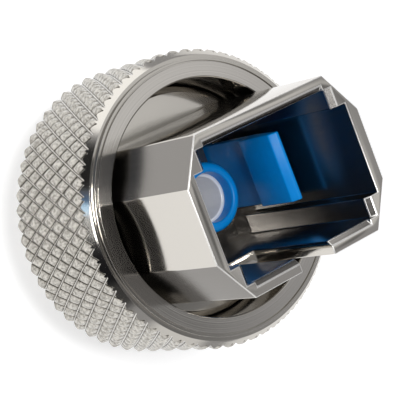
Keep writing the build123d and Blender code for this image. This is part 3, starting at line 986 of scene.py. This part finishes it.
# %% Sleeve
SLEEVE_R, FERRULE_R = 1.6, 1.25
SLEEVE_LOW_Z, SLEEVE_HIGH_Z = 0.5, 11.9
SLEEVE_EDGE = 0.06
SLIT_WIDTH, SLIT_R = 0.45, 1.43
slit = degrees(SLIT_WIDTH / SLIT_R)
sleeve_outline = rounded([
    (FERRULE_R, SLEEVE_LOW_Z, SLEEVE_EDGE), (SLEEVE_R, SLEEVE_LOW_Z, SLEEVE_EDGE),
    (SLEEVE_R, SLEEVE_HIGH_Z, SLEEVE_EDGE), (FERRULE_R, SLEEVE_HIGH_Z, SLEEVE_EDGE),
])
sleeve = lathe("alignment_sleeve", sleeve_outline, steps=88, start=90 + slit / 2, sweep=360 - slit)
soften(sleeve, 0)
sleeve.data.materials.append(materials["zirconia"])
print("sleeve faces:", len(sleeve.data.polygons), "slit in degrees:", round(slit, 1))
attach(sleeve, "adapter_body")
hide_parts("alignment_sleeve")

# %% [markdown]
# ## The nose
# The nose is a turned metal plug, pressed in from behind. It carries the rear half of the sleeve, and its
# spigot enters the instrument. It could be two cylinders and a bore, but an outline rounds each edge too.

# %% Nose
SPIGOT_R = 3.5
PRESS_R = POCKET_R - 0.02
nose_outline = rounded([
    (LIP_HOLE_R, 0.0, 0.2), (SPIGOT_R, 0.0, 0.3), (SPIGOT_R, NOSE_Z, 0.05), (PRESS_R, NOSE_Z, 0.04),
    (PRESS_R, INSERT_Z), (SLEEVE_BORE_R, INSERT_Z), (SLEEVE_BORE_R, SLEEVE_LOW_Z),
    (LIP_HOLE_R, SLEEVE_LOW_Z),
])
nose = lathe("rear_nose", nose_outline, steps=128)
soften(nose, 0)
nose.data.materials.append(materials["turned"])
print("nose faces:", len(nose.data.polygons))
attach(nose, "adapter_body")
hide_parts("rear_nose")

# %% [markdown]
# ## The snap ring
# The ring is flat wire, half in the flange's groove and half in the nut's, and keeps them together. It
# could be swept along an arc. It is spun over part of a turn, which leaves the gap to squeeze it by.

# %% Snap ring
RING_IN_R, RING_OUT_R = 6.72, 7.418
RING_EDGE = 0.08
RING_SPLIT = 30.0
ring_low, ring_high = RING_Z - RING_HALF + 2 * JOINT, RING_Z + RING_HALF - 2 * JOINT
ring_outline = rounded([
    (RING_IN_R, ring_low, RING_EDGE), (RING_OUT_R, ring_low, RING_EDGE),
    (RING_OUT_R, ring_high, RING_EDGE), (RING_IN_R, ring_high, RING_EDGE),
])
ring = lathe("snap_ring", ring_outline, steps=120, start=90 + RING_SPLIT / 2, sweep=360 - RING_SPLIT)
soften(ring, 0)
ring.data.materials.append(materials["steel"])
print("ring faces:", len(ring.data.polygons))
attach(ring, "nut")
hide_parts("nut_snap_ring")

# %% [markdown]
# ## The key
# The key is a small dowel in the boss, under the keyway. It stops the receptacle turning as the nut is
# tightened. A plain cylinder could do, but a dowel has a bevel at its end, and that catches the light.

# %% Key
key_outline = rounded([(0.0, 0.0), (KEY_R, 0.0, 0.1), (KEY_R, KEY_LENGTH, 0.15), (0.0, KEY_LENGTH)])
key = lathe("key_pin", key_outline, steps=48)
key.data.transform(to_key)
soften(key, 0)
key.data.materials.append(materials["steel"])
print("key faces:", len(key.data.polygons))
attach(key, "adapter_body")
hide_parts("key_pin")

# %% [markdown]
# ## The floor
# The object stands on white paper. More light could make it white, but would wash out the object. So the
# paper glows a little for the camera and for mirrors alone, and still shows the shadow.

# %% Floor
FLOOR_HALF, FLOOR_THICK = 400.0, 2.0
PAPER_GLOW = 0.40
floor = block("floor", (-FLOOR_HALF, FLOOR_HALF), (-FLOOR_HALF, FLOOR_HALF), (-FLOOR_THICK, 0.0))
floor_material, tree = new_material("white paper")[:2]
light_path = add(tree, "ShaderNodeLightPath").outputs
paper = add(tree, "ShaderNodeBsdfDiffuse", Color=colour("#E6E6E6"))
glow = add(tree, "ShaderNodeEmission", Color=(1.0, 1.0, 1.0, 1.0), Strength=PAPER_GLOW)
both = add(tree, "ShaderNodeAddShader", n0=paper.outputs[0], n1=glow.outputs[0])
larger = {"operation": "MAXIMUM"}
seen = add(tree, "ShaderNodeMath", larger, n0=light_path["Is Camera Ray"], n1=light_path["Is Glossy Ray"])
seen = add(tree, "ShaderNodeMath", larger, n0=seen.outputs[0], n1=light_path["Is Transmission Ray"])
shown = add(tree, "ShaderNodeMixShader", n0=seen.outputs[0], n1=paper.outputs[0], n2=both.outputs[0])
floor.data.materials.append(finish_material(floor_material, shown))
print("floor:", floor_material.name)

# %% [markdown]
# ## The light tent
# Metal shows what is around it. A picture of a studio could light it, but its shapes would show. Here the
# world is a plain grey tent with round patches, bright and dark, each where some faces mirror it.

# %% World
TENT_GREY = (0.4, 0.4, 0.41)
# Each patch: where it lies, its half width and soft edge in degrees, and its light.
PATCHES = (
    # Sky light on the upper knurl and the upper part of the chamfer.
    ((0.04, 0.95, 0.30), 24, 3, (1.5, 1.5, 1.5)),
    # A pale panel for the faces that look out of the port.
    ((0.45, 0.10, 0.89), 14, 6, (0.8, 0.8, 0.8)),
    # The dark opening beside the camera, in the left of the chamfer and the mouth's ramp.
    ((-0.74, -0.18, 0.65), 25, 6, (0.01, 0.01, 0.012)),
    ((-0.60, 0.62, 0.50), 14, 4, (0.02, 0.02, 0.02)),
    # Its bluish rim, in rounded edges that face up and to the left.
    ((-0.36, 0.46, 0.81), 12, 5, (0.08, 0.10, 0.14)),
    # A blue glint at the left of the chamfer, with its dim surround first.
    ((-0.80, 0.33, 0.51), 5, 3, (0.05, 0.13, 0.28)),
    ((-0.82, 0.29, 0.49), 2.5, 2, (0.7, 1.1, 1.5)),
    # A grey spot that darkens part of the nut's face.
    ((0.46, -0.22, 0.86), 4, 3, (0.16, 0.16, 0.16)),
    # Light from below and a dark gap beside it, in the lower left of the chamfer.
    ((-0.18, -0.95, 0.20), 15, 5, (0.9, 0.9, 0.9)),
    ((-0.70, -0.58, 0.42), 7, 4, (0.06, 0.06, 0.06)),
    # A half shade at the edge of the pale panel.
    ((0.56, 0.17, 0.81), 6, 4, (0.3, 0.3, 0.3)),
)

world = bpy.data.worlds.new("light tent")
bpy.context.scene.world = world
world.use_nodes = True
tree = world.node_tree
tree.nodes.clear()
direction = add(tree, "ShaderNodeTexCoord").outputs["Generated"]


def patch(toward, wide, soft):
    """1 inside a round patch of the tent, wide and soft in degrees, fading to 0 at its edge."""
    towards = add(tree, "ShaderNodeVectorMath", {"operation": "DOT_PRODUCT"}, n0=direction,
                  n1=Vector(toward).normalized())
    return add(tree, "ShaderNodeMapRange", {"interpolation_type": "SMOOTHSTEP"},
               Value=towards.outputs["Value"], From_Min=cos(radians(wide + soft)),
               From_Max=cos(radians(wide - soft)))


shade = (*TENT_GREY, 1.0)
for toward, wide, soft, light in PATCHES:
    share = patch(toward, wide, soft).outputs[0]
    tent = add(tree, "ShaderNodeMix", RGBA, n0=share, n6=shade, n7=(*light, 1.0))
    shade = tent.outputs[2]
background = add(tree, "ShaderNodeBackground", Color=shade, Strength=1.0)
add(tree, "ShaderNodeOutputWorld", n0=background.outputs[0])
print("patches in the tent:", len(PATCHES))

# %% [markdown]
# ## The lamps
# The key lamp is at the left, where the photograph's highlights come from, and the fill lamp lights the
# inside of the port from nearer the axis. A sun could replace them, but its light is hard.

# %% Lamps
AIM_Z = 11.0


def lamp(name, toward, distance, size, power):
    """A square soft lamp, aimed at the object from a direction."""
    data = bpy.data.lights.new(name, "AREA")
    data.size = size
    data.energy = power
    made = new_object(name, data)
    away = Vector(toward).normalized()
    place = Vector((0.0, 0.0, AIM_Z * MM)) + away * distance
    made.matrix_world = Matrix.Translation(place) @ away.to_track_quat("Z", "Y").to_matrix().to_4x4()
    return made


key_lamp = lamp("key lamp", toward=(-0.74, 0.12, 0.66), distance=0.3, size=0.09, power=0.24)
fill_lamp = lamp("fill lamp", toward=(-0.30, 0.15, 0.94), distance=0.3, size=0.06, power=0.42)
print("lamps in watts:", round(key_lamp.data.energy, 2), round(fill_lamp.data.energy, 2))

# %% [markdown]
# ## Finish
# The view could be graded, but the Standard transform shows colours as they are written.

# %% Finish
bpy.context.scene.view_settings.view_transform = "Standard"
bpy.context.view_layer.update()
